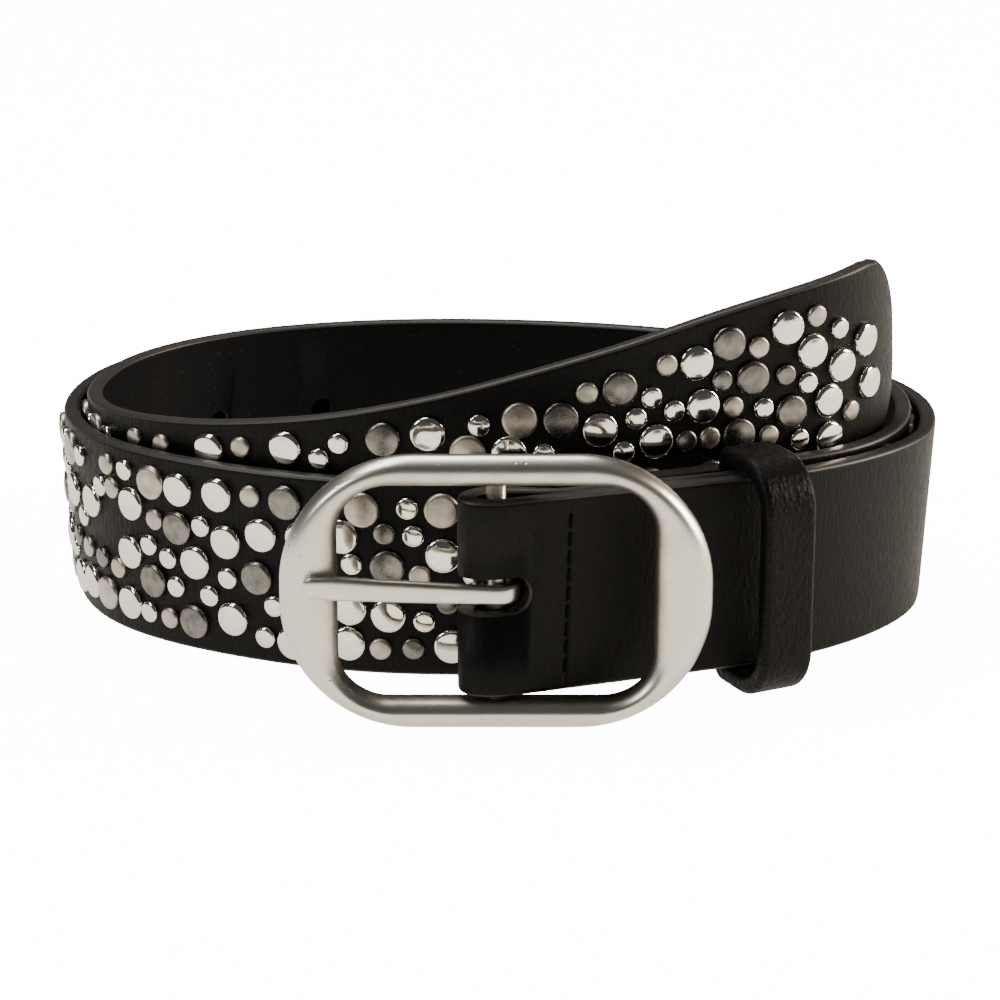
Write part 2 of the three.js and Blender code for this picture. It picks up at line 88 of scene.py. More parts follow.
# Studs by the free end: length back from the tip, height across, size and finish
TIP_STUDS = """
16 14.5 L B; 17 23.5 L B; 23.5 20.5 L B; 27 14.5 L B; 27.5 7 L B; 29.5 25.5 L B;
33.5 31.5 L B; 35 15 L D; 41 24 L D; 41 6 L B; 44 32 L D; 45.5 14 L D; 50.5 30.5 L B;
51 22 L B; 52.5 8 L D; 61 18.5 L B; 64 10.5 L S; 65 30.5 L D; 70 24 L B; 75 16.5 L B;
76 28 L D; 76.5 8 L B; 83 30 L S; 86.5 24.5 L B; 87.5 17.5 L D; 89 9.5 L B; 94 26.5 L S;
100.5 31.5 L B; 109 32 L D; 130 32.5 L B; 148 32.5 L B; 21.5 10.5 S S; 23.5 28 S B;
28 32 S S; 31 19.5 S B; 34 9 S B; 35 22.5 S D; 39 29.5 S S; 40 17.5 S B; 40 12 S S;
46.5 25.5 S D; 45.5 19.8 S S; 51 15.5 S S; 55.5 16.5 S D; 56 32 S S; 56.5 23 S B; 60 27 S B;
63.5 24 S B; 67 18.5 S B; 70.5 31.5 S S; 80.5 22.5 S B; 90.5 31 S B; 118 32.5 S B;
123 30 S B; 140 33 S S; 161 33 S S; 47 6.5 S D; 58.5 9.5 S B; 69.5 13.5 S B; 70.5 6.5 S S;
82 14 S S; 83 6.5 S B; 93.5 14 S B
"""
TIP_FILLED, TIP_UPPER_ROW, BELOW_UPPER_ROW = 98.0, 168.0, 25.0
STUD_SIZES = {"L": (6.8, 1.2, 32), "S": (4.3, 1.0, 24)}
FINISHES = {"B": "stud_bright", "S": "stud_satin", "D": "stud_dark"}


def mix(a, b, share):
    return a + (b - a) * share


def smooth(share):
    s = min(max(share, 0.0), 1.0)
    return s * s * (3 - 2 * s)


def nearness(turn, middle, spread):
    away = (turn - middle + 0.5) % 1 - 0.5
    return math.exp(-((away / spread) ** 2))


def coil_point(turn):
    angle = turn * 2 * math.pi
    inset = LAYER_PITCH * turn
    for inward, middle, spread, start in PRESSED:
        inset += inward * nearness(turn, middle, spread) * smooth((turn - start) / PRESS_FADE)
    across = abs(math.cos(angle)) / (COIL_HALF_WIDTH - inset)
    along = abs(math.sin(angle)) / (COIL_HALF_DEPTH - inset)
    radius = (across**COIL_SQUARENESS + along**COIL_SQUARENESS) ** (-1 / COIL_SQUARENESS)
    turned = angle + math.radians(COIL_TILT)
    return Vector((radius * math.cos(turned), radius * math.sin(turned)))


HEADING = Vector((math.cos(math.radians(STRAP_HEADING)), math.sin(math.radians(STRAP_HEADING))))
FOLD_RADIUS = BAR_RADIUS + TURNING_GAP + STRAP_THICK
LEG_START = BAR + Vector((HEADING.y, -HEADING.x)) * FOLD_RADIUS


def left_of(v):
    return Vector((-v.y, v.x))


def outer_points():
    points = [LEG_START + HEADING * s for s in range(math.ceil(STRAIGHT_LEG))]
    join = LEAD_JOIN / 360
    start, end = LEG_START + HEADING * STRAIGHT_LEG, coil_point(join)
    ahead = (coil_point(join + 0.001) - end).normalized()
    pull = (end - start).length * LEAD_PULL
    knots = [start, start + HEADING * pull, end - ahead * pull, end]
    fine = 400
    curve = []
    for i in range(fine + 1):
        t = i / fine
        shares = [(1 - t) ** 3, 3 * t * (1 - t) ** 2, 3 * t * t * (1 - t), t**3]
        curve.append(sum((k * s for k, s in zip(knots, shares)), Vector((0, 0))))
    lengths = [0.0]
    for a, b in zip(curve, curve[1:]):
        lengths.append(lengths[-1] + (b - a).length)
    steps = round(lengths[-1])
    k = 0
    for i in range(steps + 1):
        want = lengths[-1] * i / steps
        while k < fine - 1 and lengths[k + 1] < want:
            k += 1
        share = (want - lengths[k]) / (lengths[k + 1] - lengths[k])
        points.append(curve[k].lerp(curve[k + 1], share))
    turn_step = 1 / (2 * math.pi * COIL_HALF_DEPTH)
    turn = join + turn_step
    while turn < TIP_TURN + 0.1:
        points.append(coil_point(turn))
        turn += turn_step
    return points


class Row:
    """One point of the route with its running length, heading, turn, slope and height."""

    def __init__(self, length, point, along):
        self.length, self.point, self.along = length, point, along
        self.turn = self.slope = self.height = 0.0


def measure(points):
    rows, length = [], 0.0
    for i, p in enumerate(points):
        if i:
            length += (p - points[i - 1]).length
        before, after = points[max(i - 1, 0)], points[min(i + 1, len(points) - 1)]
        rows.append(Row(length, p, (after - before).normalized()))
    return rows


def between(rows, length):
    low, high = 0, len(rows) - 1
    while high - low > 1:
        middle = (low + high) // 2
        if rows[middle].length <= length:
            low = middle
        else:
            high = middle
    a, b = rows[low], rows[high]
    return a, b, (length - a.length) / (b.length - a.length)


def place_at(rows, length):
    a, b, share = between(rows, length)
    along = a.along.lerp(b.along, min(max(share, 0), 1)).normalized()
    return a.point.lerp(b.point, share), along


def slope_at(turn):
    if turn <= CLIMB[0][0]:
        return CLIMB[0][1]
    for (t0, s0), (t1, s1) in zip(CLIMB, CLIMB[1:]):
        if t1 > turn:
            return mix(s0, s1, smooth((turn - t0) / (t1 - t0)))
    return CLIMB[-1][1]


OUTER = measure(outer_points())
CLOSE_LENGTH = 14.0


def build_route():
    points = []
    closed = STRAP_THICK + TURNING_GAP + SKIVED_THICK
    for s in range(int(TURNED_BACK), 0, -1):
        point, along = place_at(OUTER, s)
        offset = mix(2 * FOLD_RADIUS, closed, smooth(s / CLOSE_LENGTH))
        points.append(point + left_of(along) * offset)
    for i in range(24):
        angle = math.pi * i / 24
        back = HEADING * (-math.sin(angle) * FOLD_RADIUS * FOLD_STRETCH)
        points.append(BAR + back + left_of(HEADING) * (math.cos(angle) * FOLD_RADIUS))
    first_outer = len(points)
    rows = measure(points + [row.point for row in OUTER])
    outer_start = rows[first_outer].length
    swept = None
    for row in rows[first_outer:]:
        angle = (math.atan2(row.point.y, row.point.x) - math.radians(COIL_TILT)) / (2 * math.pi)
        if swept is None:
            swept = angle
        swept += (angle - swept + 0.5) % 1 - 0.5
        row.turn = swept
    climbed = 0.0
    for i, row in enumerate(rows):
        if i >= first_outer:
            degrees = slope_at(row.turn)
        else:
            a, b, share = between(rows, outer_start + max(TURNED_BACK - row.length, 0))
            folded = max(row.length - TURNED_BACK, 0) / (outer_start - TURNED_BACK)
            degrees = slope_at(mix(a.turn, b.turn, share)) * (2 * folded - 1)
        row.slope = math.radians(degrees)
        if i:
            climbed += math.tan(row.slope) * (row.length - rows[i - 1].length)
        row.height = climbed
    lowest = next(r.height for r in rows[first_outer:] if r.turn > 0.3)
    for row in rows:
        row.height -= lowest
    tip = next(r.length for r in rows[first_outer:] if r.turn > TIP_TURN)
    return rows, outer_start, tip


ROUTE, OUTER_START, TIP = build_route()
HINGE = frame["record"]["behaviour"]["joints"][0]["pos_m"]
SHIFT = Vector((HINGE[0] / MM - BAR.x, HINGE[1] / MM - BAR.y, 0))


def value(name, length):
    a, b, share = between(ROUTE, length)
    return mix(getattr(a, name), getattr(b, name), share)


def strap_point(length, across, depth):
    """Length along the strap, height across it and depth in from the grain face, to a place."""
    slope = value("slope", length)
    point, along = place_at(ROUTE, length - across * math.sin(slope))
    if length >= OUTER_START:
        turn = value("turn", length)
        lean = sum(i * nearness(turn, m, s) * smooth((turn - f) / PRESS_FADE) for i, m, s, f in LEANING)
        depth += lean * (1 - across / STRAP_WIDTH)
    place = point + left_of(along) * depth
    return Vector((place.x, place.y, value("height", length) + across * math.cos(slope)))


def to_row_frame(p):
    return (p + SHIFT) * MM


# Meshes
def grid(name, rings, slots, slot_of=None, uv_of=None, closed=True, caps=False):
    """A mesh through rings of points in mm. slot_of and uv_of take (ring, place on the ring)."""
    mesh = bpy.data.meshes.new(name)
    count = len(rings[0])
    vertices = [to_row_frame(p) for ring in rings for p in ring]
    faces, keys = [], []
    last = len(rings) if closed else len(rings) - 1
    for i in range(last):
        j = (i + 1) % len(rings)
        for k in range(count):
            m = (k + 1) % count
            faces.append((i * count + k, i * count + m, j * count + m, j * count + k))
            keys.append((i, k))
    if caps:
        faces.append(tuple(range(count)))
        faces.append(tuple(range((len(rings) - 1) * count, len(rings) * count)))
        keys += [(0, 0), (len(rings) - 1, 0)]
    mesh.from_pydata(vertices, [], faces)
    for slot in slots:
        mesh.materials.append(slot)
    if uv_of:
        layer = mesh.uv_layers.new(name="surface")
        for polygon, (i, k) in zip(mesh.polygons, keys):
            corners = [(i, k), (i, k + 1), (i + 1, k + 1), (i + 1, k)]
            if len(polygon.loop_indices) == 4:
                for loop, corner in zip(polygon.loop_indices, corners):
                    layer.data[loop].uv = uv_of(*corner)
    if slot_of:
        for polygon, key in zip(mesh.polygons, keys):
            polygon.material_index = slot_of(*key)
    return shown(name, mesh)


def shown(name, mesh):
    bm = bmesh.new()
    bm.from_mesh(mesh)
    bmesh.ops.recalc_face_normals(bm, faces=bm.faces)
    bm.to_mesh(mesh)
    bm.free()
    mesh.polygons.foreach_set("use_smooth", [True] * len(mesh.polygons))
    mesh.update()
    obj = bpy.data.objects.new(name, mesh)
    bpy.context.scene.collection.objects.link(obj)
    return obj


def cut(obj, tools):
    """Take closed tool meshes away from obj."""
    for tool in tools:
        modifier = obj.modifiers.new("cut", "BOOLEAN")
        modifier.operation, modifier.solver, modifier.object = "DIFFERENCE", "EXACT", tool
        with bpy.context.temp_override(object=obj, active_object=obj):
            bpy.ops.object.modifier_apply(modifier="cut")
        bpy.data.objects.remove(tool)


# Shaders
class Nodes:
    """A material built node by node."""

    def __init__(self, name):
        self.material = bpy.data.materials.new(name)
        self.material.use_nodes = True
        self.tree = self.material.node_tree
        self.shader = self.tree.nodes["Principled BSDF"]

    def add(self, kind, **inputs):
        node = self.tree.nodes.new(kind)
        for key, setting in inputs.items():
            name = key.replace("_", " ")
            if hasattr(setting, "links"):
                self.tree.links.new(setting, node.inputs[name])
            elif name in node.inputs:
                node.inputs[name].default_value = setting
            else:
                setattr(node, key, setting)
        return node

    def put(self, name, setting):
        if hasattr(setting, "links"):
            self.tree.links.new(setting, self.shader.inputs[name])
        else:
            self.shader.inputs[name].default_value = setting

    def spread(self, source, scale):
        node = self.tree.nodes.new("ShaderNodeMapping")
        node.inputs["Scale"].default_value = scale
        self.tree.links.new(source, node.inputs["Vector"])
        return node.outputs["Vector"]

    def ramp(self, source, low, high, low_at=0.0, high_at=1.0):
        node = self.tree.nodes.new("ShaderNodeMapRange")
        node.inputs["From Min"].default_value, node.inputs["From Max"].default_value = low_at, high_at
        node.inputs["To Min"].default_value, node.inputs["To Max"].default_value = low, high
        self.tree.links.new(source, node.inputs["Value"])
        return node.outputs["Result"]

    def blend(self, share, a, b):
        node = self.tree.nodes.new("ShaderNodeMix")
        node.data_type = "RGBA"
        self.tree.links.new(share, node.inputs["Factor"])
        node.inputs["A"].default_value, node.inputs["B"].default_value = (*a, 1), (*b, 1)
        return node.outputs["Result"]

    def bump(self, height, strength, distance, under=None):
        node = self.tree.nodes.new("ShaderNodeBump")
        node.inputs["Strength"].default_value = strength
        node.inputs["Distance"].default_value = distance
        self.tree.links.new(height, node.inputs["Height"])
        if under:
            self.tree.links.new(under, node.inputs["Normal"])
        return node.outputs["Normal"]


def leather(name, color, creases, pebbles, roughness):
    """Black leather: fine creases across its length and small pebbles, both from its surface map."""
    m = Nodes(name)
    surface = m.add("ShaderNodeUVMap", uv_map="surface").outputs["UV"]
    crease = m.add("ShaderNodeTexNoise", Vector=m.spread(surface, (1500, 330, 1)), Scale=1.0,
                   Detail=4.0, Roughness=0.6, Distortion=0.4).outputs["Fac"]
    cells = m.add("ShaderNodeTexVoronoi", Vector=m.spread(surface, (1150, 900, 1)),
                  Scale=1.0).outputs["Distance"]
    patches = m.add("ShaderNodeTexNoise", Vector=m.spread(surface, (60, 45, 1)), Scale=1.0,
                    Detail=3.0).outputs["Fac"]
    normal = m.bump(crease, creases, 0.0003)
    normal = m.bump(cells, pebbles, 0.0002, normal)
    m.put("Normal", normal)
    m.put("Base Color", m.blend(patches, color, tuple(c * 1.5 for c in color)))
    m.put("Roughness", m.ramp(crease, roughness - 0.06, roughness + 0.12, 0.3, 0.7))
    m.put("Specular IOR Level", 0.12)
    return m.material


def painted_edge():
    m = Nodes("painted_edge")
    place = m.add("ShaderNodeTexCoord").outputs["Object"]
    grain = m.add("ShaderNodeTexNoise", Vector=m.spread(place, (700, 700, 700)), Scale=1.0,
                  Detail=4.0).outputs["Fac"]
    m.put("Base Color", m.blend(grain, (0.018, 0.0165, 0.015), (0.042, 0.038, 0.034)))
    m.put("Roughness", 0.46)
    m.put("Normal", m.bump(grain, 0.25, 0.0001))
    return m.material


def strap_inside():
    m = Nodes("strap_inside")
    place = m.add("ShaderNodeTexCoord").outputs["Object"]
    specks = m.add("ShaderNodeTexNoise", Vector=m.spread(place, (1300, 1300, 1300)), Scale=1.0,
                   Detail=2.0).outputs["Fac"]
    m.put("Base Color", m.blend(m.ramp(specks, 0, 1, 0.66, 0.74), (0.0035, 0.0035, 0.0037),
                                (0.02, 0.02, 0.021)))
    m.put("Roughness", 0.62)
    m.put("Specular IOR Level", 0.08)
    m.put("Normal", m.bump(specks, 0.15, 0.0001))
    return m.material


def plain(name, color, metallic, roughness):
    m = Nodes(name)
    m.put("Base Color", (*color, 1))
    m.put("Metallic", metallic)
    m.put("Roughness", roughness)
    m.put("Specular IOR Level", 0.1)
    return m.material


def stud_metal(name, color, roughness, worn):
    """Plated stud metal with faint scratches and, where worn, soft darker patches."""
    m = Nodes(name)
    place = m.add("ShaderNodeTexCoord").outputs["Object"]
    fine = m.add("ShaderNodeTexNoise", Vector=m.spread(place, (2600, 2600, 2600)), Scale=1.0,
                 Detail=3.0).outputs["Fac"]
    broad = m.add("ShaderNodeTexNoise", Vector=m.spread(place, (420, 420, 420)), Scale=1.0,
                  Detail=2.0).outputs["Fac"]
    m.put("Base Color", m.blend(m.ramp(broad, 0, 1, 0.35, 0.7), color,
                                tuple(c * (1 - worn) for c in color)))
    m.put("Metallic", 1.0)
    m.put("Roughness", m.ramp(fine, roughness * 0.8, roughness * 1.25, 0.3, 0.7))
    m.put("Normal", m.bump(fine, worn * 0.3, 0.00005))
    return m.material


def antique_nickel(name, roughness):
    """Satin nickel with small pits, darker where the shade attribute says so: antique patina and painted
    shade.
    """
    m = Nodes(name)
    place = m.add("ShaderNodeTexCoord").outputs["Object"]
    shade = m.add("ShaderNodeAttribute", attribute_name="shade").outputs["Fac"]
    cloud = m.add("ShaderNodeTexNoise", Vector=m.spread(place, (150, 150, 150)), Scale=1.0,
                  Detail=5.0, Roughness=0.65).outputs["Fac"]
    pits = m.add("ShaderNodeTexVoronoi", Vector=m.spread(place, (420, 420, 420)), Scale=1.0)
    pit = m.ramp(pits.outputs["Distance"], 1, 0, 0.05, 0.14)
    dark = m.add("ShaderNodeMath", operation="MULTIPLY_ADD")
    m.tree.links.new(cloud, dark.inputs[0])
    dark.inputs[1].default_value = 0.5
    m.tree.links.new(shade, dark.inputs[2])
    # Blend towards dark brown: antique patina and painted shade together.
    patina_and_shade = m.ramp(dark.outputs["Value"], 0, 1, 0.3, 0.95)
    m.put("Base Color", m.blend(patina_and_shade, (0.76, 0.735, 0.655), (0.15, 0.125, 0.095)))
    m.put("Metallic", 1.0)
    m.put("Roughness", m.ramp(patina_and_shade, roughness, roughness + 0.2))
    normal = m.bump(pit, 0.18, -0.0003)
    m.put("Normal", m.bump(cloud, 0.06, 0.0005, normal))
    return m.material


LEATHER = leather("strap_leather", (0.0030, 0.0028, 0.0026), 0.5, 0.2, 0.42)
KEEPER_LEATHER = leather("keeper_leather", (0.0026, 0.0026, 0.0026), 0.6, 0.6, 0.42)
EDGE, INSIDE = painted_edge(), strap_inside()
THREAD = plain("thread", (0.0018, 0.0018, 0.0018), 0.0, 0.8)
NICKEL = antique_nickel("antique_nickel", 0.3)
STUD_METALS = {
    "B": stud_metal("stud_bright", (0.9, 0.87, 0.8), 0.09, 0.05),
    "S": stud_metal("stud_satin", (0.56, 0.51, 0.45), 0.34, 0.3),
    "D": stud_metal("stud_dark", (0.25, 0.235, 0.22), 0.28, 0.45),
}

# Strap
EDGE_ROUND, ARC_STEPS, SUPPORT = 0.95, 4, 0.35
SEAM_AT, SEAM_WIDE, SEAM_DEEP = 11.3, 0.75, 0.28


def thick_at(length):
    return mix(SKIVED_THICK, STRAP_THICK, smooth((length - (TURNED_BACK - CLOSE_LENGTH)) / CLOSE_LENGTH))


TIP_END = TIP - TIP_SHORT
TIP_DEPTH = TIP_RADIUS - math.sqrt(TIP_RADIUS**2 - (STRAP_WIDTH / 2) ** 2)


def draw_in(length):
    """How far each edge draws in: the free end is one arc that meets the edges at soft corners."""
    back = max(TIP_END - length, 0)
    if back > TIP_DEPTH:
        return 0.5 * smooth((TIP_DEPTH + 3 - back) / 3) if back < TIP_DEPTH + 3 else 0
    half = math.sqrt(2 * TIP_RADIUS * back - back * back)
    return STRAP_WIDTH / 2 - min(half, STRAP_WIDTH / 2 - 0.5)


def profile(low, high, thick, round_by):
    """(across, depth) round a section with soft corners, from the lower corner of the grain face."""
    r = min(round_by, 0.45 * (high - low), 0.45 * thick)
    corners = [(low + r, r, 180), (high - r, r, 270), (high - r, thick - r, 0), (low + r, thick - r, 90)]
    arcs = []
    for across, depth, start in corners:
        turns = [math.radians(start + 90 * i / ARC_STEPS) for i in range(ARC_STEPS + 1)]
        arcs.append([(across + r * math.cos(a), depth + r * math.sin(a)) for a in turns])
    points = []
    for arc, after in zip(arcs, arcs[1:] + arcs[:1]):
        points += arc
        end, start = arc[-1], after[0]
        edge = min(SUPPORT / max(math.dist(end, start), 0.01), 0.3)
        points += [(mix(end[0], start[0], t), mix(end[1], start[1], t)) for t in (edge, 1 - edge)]
    return points


def strap_lengths():
    turn_each, longest = math.radians(3), 3.0
    chosen = [0.0]
    bent = 0.0
    for before, row in zip(ROUTE, ROUTE[1:]):
        if row.length >= TIP_END - TIP_DEPTH - 4:
            break
        bent += before.along.angle(row.along)
        if bent >= turn_each or row.length - chosen[-1] >= longest:
            chosen.append(row.length)
            bent = 0.0
    middle = OUTER_START + SEAM_AT
    chosen = [s for s in chosen if abs(s - middle) > 1.5 * SEAM_WIDE]
    chosen += [middle + SEAM_WIDE * k / 4 for k in range(-5, 6)]
    chosen += [TIP_END - (TIP_DEPTH + 3) * (1 - math.sin(math.radians(87.0) * i / 28)) for i in range(29)]
    return sorted(chosen)


def make_strap():
    lengths = strap_lengths()
    rings = []
    middle = OUTER_START + SEAM_AT
    end = lengths[-1]
    for s in lengths:
        narrower = PLAIN_NARROWER * (1 - smooth((s - OUTER_START - NARROW_UNTIL) / NARROW_UNTIL))
        inset = draw_in(s)
        thick = thick_at(s)
        sunk = SEAM_DEEP * smooth(1.2 * (1 - abs(s - middle) / SEAM_WIDE))
        near_end = min(max(1 - min(s, end - s) / EDGE_ROUND, 0), 1)
        drawn = 0.8 * EDGE_ROUND * (1 - math.sqrt(1 - near_end * near_end))
        section = profile(inset + narrower / 2, STRAP_WIDTH - inset - narrower / 2, thick - 2 * drawn,
                          min(EDGE_ROUND, thick * 0.45) - drawn * 0.9)
        ring = []
        for across, depth in section:
            inner = smooth((across - inset - 1.5) / 1.5) * smooth((STRAP_WIDTH - inset - 1.5 - across) / 1.5)
            press = sunk if depth < 0.05 and inner > 0 else 0
            ring.append(strap_point(s, across, depth + drawn + press))
        rings.append(ring)
    section = profile(0, STRAP_WIDTH, STRAP_THICK, EDGE_ROUND)
    count = len(section)

    def slot_of(_, k):
        depth = (section[k][1] + section[(k + 1) % count][1]) / 2
        return 0 if depth < 0.16 else 1 if depth > STRAP_THICK - 0.16 else 2

    def uv_of(i, k):
        across, depth = section[k % count]
        return lengths[i] * MM, (across + depth) * MM

    obj = grid("strap_detail", rings, [LEATHER, INSIDE, EDGE], slot_of, uv_of, closed=False, caps=True)
    tools = [round_tool(hole, STRAP_WIDTH / 2, HOLE_WIDE) for hole in hole_lengths()]
    cut(obj, [slot_tool(), *tools])
    return obj


def hole_lengths():
    return [TIP - FIRST_HOLE - i * HOLE_PITCH for i in range(HOLE_COUNT)]


def round_tool(length, across, diameter):
    sides = 40
    start, end = strap_point(length, across, -1), strap_point(length, across, STRAP_THICK + 1)
    u = (strap_point(length, across + 1, 0) - strap_point(length, across, 0)).normalized()
    v = (end - start).normalized().cross(u)
    rings = []
    for base in (start, end):
        rings.append([base + (u * math.cos(a) + v * math.sin(a)) * diameter / 2
                      for a in (2 * math.pi * i / sides for i in range(sides))])
    return grid("tool", rings, [EDGE], closed=False, caps=True)


def slot_tool():
    """The prong's slot through the fold: a block with round ends along the strap."""
    half, length, reach = SLOT_HEIGHT / 2, SLOT_REACH + FOLD_RADIUS / 2, FOLD_RADIUS * 1.5
    ahead = Vector((HEADING.x, HEADING.y, 0))
    side = Vector((-HEADING.y, HEADING.x, 0))
    centre = Vector((BAR.x, BAR.y, FRAME_HEIGHT / 2 + PRONG_HIGH / 2)) - ahead * (FOLD_RADIUS / 2)
    outline = []
    steps = 8
    for sx, sz, start in ((1, 1, 0), (-1, 1, 90), (-1, -1, 180), (1, -1, 270)):
        for i in range(steps + 1):
            a = math.radians(start + 90 * i / steps)
            corner = half
            outline.append((sx * (length - corner) + corner * math.cos(a),
                            sz * (half - corner) + corner * math.sin(a)))
    rings = []
    for end in (-reach, reach):
        rings.append([centre + ahead * x + Vector((0, 0, z)) + side * end for x, z in outline])
    return grid("tool", rings, [EDGE], closed=False, caps=True)


# Studs
def read_chart(text):
    for entry in text.replace("\n", " ").split(";"):
        along, across, size, finish = entry.split()
        yield float(along), float(across), size, finish


def stud_places():
    places = [(TIP - back, across, size, finish) for back, across, size, finish in read_chart(TIP_STUDS)]
    last = TIP - TIP_FILLED
    start = OUTER_START + FIRST_REPEAT
    while start < last:
        for along, across, size, finish in read_chart(REPEAT_STUDS):
            length = start + along
            if length < last and (length < TIP - TIP_UPPER_ROW or across < BELOW_UPPER_ROW):
                places.append((length, across, size, finish))
        start += REPEAT
    holes = hole_lengths()

    def clear(length, across, size):
        room = (HOLE_WIDE + STUD_SIZES[size][0]) / 2 + 0.3
        return all(math.hypot(length - h, across - STRAP_WIDTH / 2) > room for h in holes)

    return [p for p in places if clear(p[0], p[1], p[2])]


def stud_outline(diameter, rise):
    """(radius, height) from the foot of a stud to its middle: a rolled rim and a slightly domed face."""
    r = diameter / 2
    roll = 0.62 * rise
    rows = [(r - 0.06, -0.35), (r, 0.0), (r, rise - roll)]
    for i in range(1, 6):
        a = math.radians(90 * i / 5)
        rows.append((r - roll * 1.15 * (1 - math.cos(a)), rise - roll + roll * math.sin(a)))
    face, edge_slope = r - roll * 1.15, math.radians(12)
    for share in (0.8, 0.55, 0.3):
        rows.append((face * share, rise + face * math.tan(edge_slope) / 2 * (1 - share * share)))
    return rows


def make_studs():
    rng = random.Random(7)
    parts = {key: ([], []) for key in FINISHES}
    for length, across, size, finish in stud_places():
        diameter, rise, sides = STUD_SIZES[size]
        base = strap_point(length, across, 0)
        u = (strap_point(length + 1, across, 0) - strap_point(length - 1, across, 0)).normalized()
        v = (strap_point(length, across + 1, 0) - strap_point(length, across - 1, 0)).normalized()
        n = u.cross(v).normalized()
        if n.dot(base - strap_point(length, across, 1)) < 0:
            n = -n
        n = (n + u * rng.gauss(0, 0.016) + v * rng.gauss(0, 0.016)).normalized()
        u = (u - n * u.dot(n)).normalized()
        v = n.cross(u)
        vertices, faces = parts[finish]
        first = len(vertices)
        outline = stud_outline(diameter, rise)
        for radius, height in outline:
            for k in range(sides):
                a = 2 * math.pi * k / sides
                arm = (u * math.cos(a) + v * math.sin(a)) * radius
                vertices.append(to_row_frame(base + arm + n * height))
        vertices.append(to_row_frame(base + n * (outline[-1][1] + 0.02)))
        top = len(vertices) - 1
        for i in range(len(outline) - 1):
            for k in range(sides):
                m = (k + 1) % sides
                faces.append((first + i * sides + k, first + i * sides + m,
                              first + (i + 1) * sides + m, first + (i + 1) * sides + k))
        rim = first + (len(outline) - 1) * sides
        faces += [(rim + k, rim + (k + 1) % sides, top) for k in range(sides)]
        faces.append(tuple(first + k for k in reversed(range(sides))))
    for finish, (vertices, faces) in parts.items():
        mesh = bpy.data.meshes.new(FINISHES[finish])
        mesh.from_pydata(vertices, [], faces)
        mesh.materials.append(STUD_METALS[finish])
        obj = shown(FINISHES[finish] + "_studs", mesh)
        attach(obj, "strap_body")


# Buckle
def rounded_box(left, right, low, high, right_corner, left_corner, steps):
    """Points round a box with one radius for its right corners and one for its left ones."""
    corners = [(right - right_corner, high - right_corner, right_corner),
               (left + left_corner, high - left_corner, left_corner),
               (left + left_corner, low + left_corner, left_corner),
               (right - right_corner, low + right_corner, right_corner)]
    points = []
    for quarter, (x, y, radius) in enumerate(corners):
        for i in range(steps + 1):
            a = math.radians((quarter + i / steps) * 90)
            points.append(Vector((x + radius * math.cos(a), y + radius * math.sin(a))))
    return points


def centred_box(width, height, corner, steps):
    return rounded_box(-width / 2, width / 2, -height / 2, height / 2, corner, corner, steps)


FRAME_SECTION = [
    (0, 0.62), (0.06, 0.25), (0.28, 0.04), (0.52, 0), (0.76, 0.08), (0.95, 0.32), (1, 0.55),
    (0.88, 0.88), (0.6, 1), (0.3, 1), (0.08, 0.94),
]
FRAME_FRONT = BAR.y - BAR_AHEAD - FRAME_DEPTH / 2


def rounded(points, steps):
    """A smooth closed curve through (across, depth) points."""
    out = []
    n = len(points)
    for i in range(n):
        p0, p1, p2, p3 = (Vector(points[(i + k) % n]) for k in (-1, 0, 1, 2))
        for j in range(steps):
            t = j / steps
            out.append(0.5 * (2 * p1 + (p2 - p0) * t + (2 * p0 - 5 * p1 + 4 * p2 - p3) * t * t
                              + (3 * p1 - p0 - 3 * p2 + p3) * t**3))
    return out


def set_shade(obj, shades):
    attribute = obj.data.attributes.new("shade", "FLOAT", "POINT")
    attribute.data.foreach_set("value", shades)


def make_frame():
    steps = 24
    section = rounded(FRAME_SECTION, 4)
    inside = centred_box(OPEN_WIDTH, OPEN_HEIGHT, OPEN_CORNER, steps)
    outside = centred_box(FRAME_WIDTH, FRAME_HEIGHT, FRAME_CORNER, steps)
    rings, shades = [], []
    for a, b in zip(inside, outside):
        ring = []
        for across, depth in section:
            p = a.lerp(b, across)
            ring.append(Vector((p.x + BAR.x, FRAME_FRONT + depth * FRAME_DEPTH, p.y + FRAME_HEIGHT / 2)))
            # Darkening stored in the shade attribute: antique patina along the inner edge of the opening,
            # painted shade towards the back of the rail section, and painted shade on the upper half of the
            # frame near the opening.
            inner_edge = math.exp(-((across / 0.16) ** 2)) * 0.5
            side = 0.22 * smooth((depth - 0.25) / 0.4)
            painted_top_shade = 0.16 * smooth(p.y / 24) * (1 - across)
            shades.append(0.02 + inner_edge + side + painted_top_shade)
        rings.append(ring)
    obj = grid("buckle_frame_detail", rings, [NICKEL])
    set_shade(obj, shades)
    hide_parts("buckle_frame")
    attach(obj, "buckle_body")
    sides = 32
    half = (OPEN_HEIGHT + (FRAME_HEIGHT - OPEN_HEIGHT) / 2) / 2
    rings = []
    for z, radius in ((-half, BAR_RADIUS - 0.3), (-half + 0.3, BAR_RADIUS), (half - 0.3, BAR_RADIUS),
                      (half, BAR_RADIUS - 0.3)):
        rings.append([Vector((BAR.x + radius * math.cos(2 * math.pi * i / sides),
                              BAR.y + radius * math.sin(2 * math.pi * i / sides), z + FRAME_HEIGHT / 2))
                      for i in range(sides)])
    post = grid("buckle_bar", rings, [NICKEL], closed=False, caps=True)
    set_shade(post, [0.12] * len(post.data.vertices))
    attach(post, "buckle_body")


